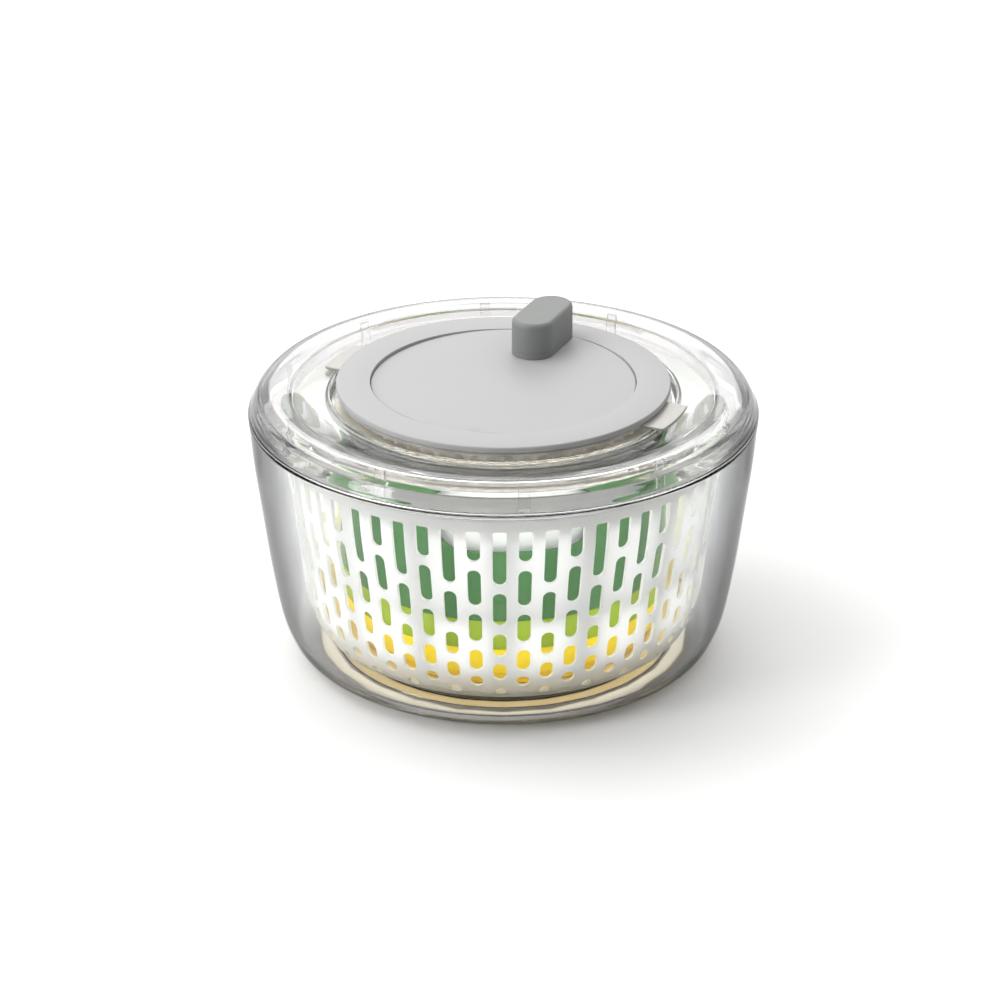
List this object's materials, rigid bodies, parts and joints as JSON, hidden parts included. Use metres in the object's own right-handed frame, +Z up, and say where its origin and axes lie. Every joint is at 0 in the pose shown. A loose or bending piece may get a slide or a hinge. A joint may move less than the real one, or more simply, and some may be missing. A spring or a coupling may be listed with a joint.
{
  "type": "salad spinner",
  "caption": "Clear bowl with a slotted spinning basket, a geared crank lid with an oblong knob, and nested slicing and grating tools stored inside.",
  "frame": {"origin": "centre of the underside, on the bowl's axis, at the level of the surface it stands on", "axes": "+Z up along the spin axis; -Y towards the side with the tools' wide front notch; +X to the right seen from there"},
  "size_m": [0.2568, 0.2568, 0.1623],
  "materials": {
    "clear_plastic": "clear moulded copolyester",
    "basket_white": "satin moulded plastic",
    "foot_grey": "soft matt elastomer",
    "disc_grey": "fine matt texture",
    "knob_grey": "fine matt texture",
    "housing_smoke": "translucent grey moulded plastic",
    "gear_white": "acetal, satin",
    "steel": "ground stainless steel",
    "slicer_green": "satin moulded plastic",
    "grater_lime": "satin moulded plastic",
    "slicer_yellow": "satin moulded plastic",
    "grip_frosted": "frosted translucent plastic"
  },
  "bodies": {
    "bowl": {"bowl": "clear_plastic", "bowl_wall": "clear_plastic", "foot_ring": "foot_grey"},
    "bearing": {"pivot_bush": "gear_white"},
    "basket": {"basket": "basket_white", "basket_wall": "basket_white", "basket_rim": "basket_white"},
    "coarse_slicer": {"coarse_slicer_body": "slicer_yellow", "coarse_blade": "steel"},
    "grater": {"grater_body": "grater_lime", "grater_plate": "steel"},
    "slicer": {"slicer_body": "slicer_green", "slicer_blade": "steel"},
    "food_grip": {"food_grip": "grip_frosted"},
    "lid": {"lid_shell": "clear_plastic", "lid_ring": "clear_plastic", "lid_well": "clear_plastic", "gear_housing": "housing_smoke", "gear_cover": "housing_smoke"},
    "crank": {"handle_disc": "disc_grey", "knob": "knob_grey", "knob_screw": "steel", "planet_carrier": "gear_white", "planet_pin_1": "steel", "planet_pin_2": "steel", "planet_pin_3": "steel", "centre_screw": "steel"},
    "planet_1": {"planet_gear_1": "gear_white"},
    "planet_2": {"planet_gear_2": "gear_white"},
    "planet_3": {"planet_gear_3": "gear_white"},
    "drive": {"sun_gear": "gear_white", "drive_spider": "clear_plastic", "thrust_washer": "gear_white"}
  },
  "joints": [
    {"name": "basket_lift", "type": "slide", "parent": "bowl", "child": "bearing", "axis": [0, 0, 1], "range_m": [0, 0.13]},
    {"name": "basket_spin", "type": "hinge", "parent": "bearing", "child": "basket", "pos_m": [0, 0, 0.02], "axis": [0, 0, 1], "continuous": true},
    {"name": "lid_lift", "type": "slide", "parent": "bearing", "child": "lid", "axis": [0, 0, 1], "range_m": [0, 0.3]},
    {"name": "crank_spin", "type": "hinge", "parent": "lid", "child": "crank", "pos_m": [0, 0, 0.1433], "axis": [0, 0, 1], "continuous": true},
    {"name": "drive_spin", "type": "hinge", "parent": "lid", "child": "drive", "pos_m": [0, 0, 0.13], "axis": [0, 0, 1], "continuous": true},
    {"name": "coarse_slicer_lift", "type": "slide", "parent": "basket", "child": "coarse_slicer", "axis": [0, 0, 1], "range_m": [0, 0.12]},
    {"name": "grater_lift", "type": "slide", "parent": "coarse_slicer", "child": "grater", "axis": [0, 0, 1], "range_m": [0, 0.02]},
    {"name": "slicer_lift", "type": "slide", "parent": "grater", "child": "slicer", "axis": [0, 0, 1], "range_m": [0, 0.02]},
    {"name": "food_grip_lift", "type": "slide", "parent": "slicer", "child": "food_grip", "axis": [0, 0, 1], "range_m": [0, 0.062]},
    {"name": "planet_1_spin", "type": "hinge", "parent": "crank", "child": "planet_1", "pos_m": [0.045, 0, 0.13], "axis": [0, 0, 1], "continuous": true},
    {"name": "planet_2_spin", "type": "hinge", "parent": "crank", "child": "planet_2", "pos_m": [-0.0225, 0.03897, 0.13], "axis": [0, 0, 1], "continuous": true},
    {"name": "planet_3_spin", "type": "hinge", "parent": "crank", "child": "planet_3", "pos_m": [-0.0225, -0.03897, 0.13], "axis": [0, 0, 1], "continuous": true}
  ],
  "couplings": [
    {"joint": "crank_spin", "follows": "basket_spin", "ratio": 0.2},
    {"joint": "drive_spin", "follows": "basket_spin", "ratio": 1},
    {"joint": "coarse_slicer_lift", "follows": "lid_lift", "ratio": 0.38},
    {"joint": "grater_lift", "follows": "lid_lift", "ratio": 0.06},
    {"joint": "slicer_lift", "follows": "lid_lift", "ratio": 0.06},
    {"joint": "food_grip_lift", "follows": "lid_lift", "ratio": 0.2},
    {"joint": "planet_1_spin", "follows": "basket_spin", "ratio": -0.53333},
    {"joint": "planet_2_spin", "follows": "basket_spin", "ratio": -0.53333},
    {"joint": "planet_3_spin", "follows": "basket_spin", "ratio": -0.53333}
  ]
}
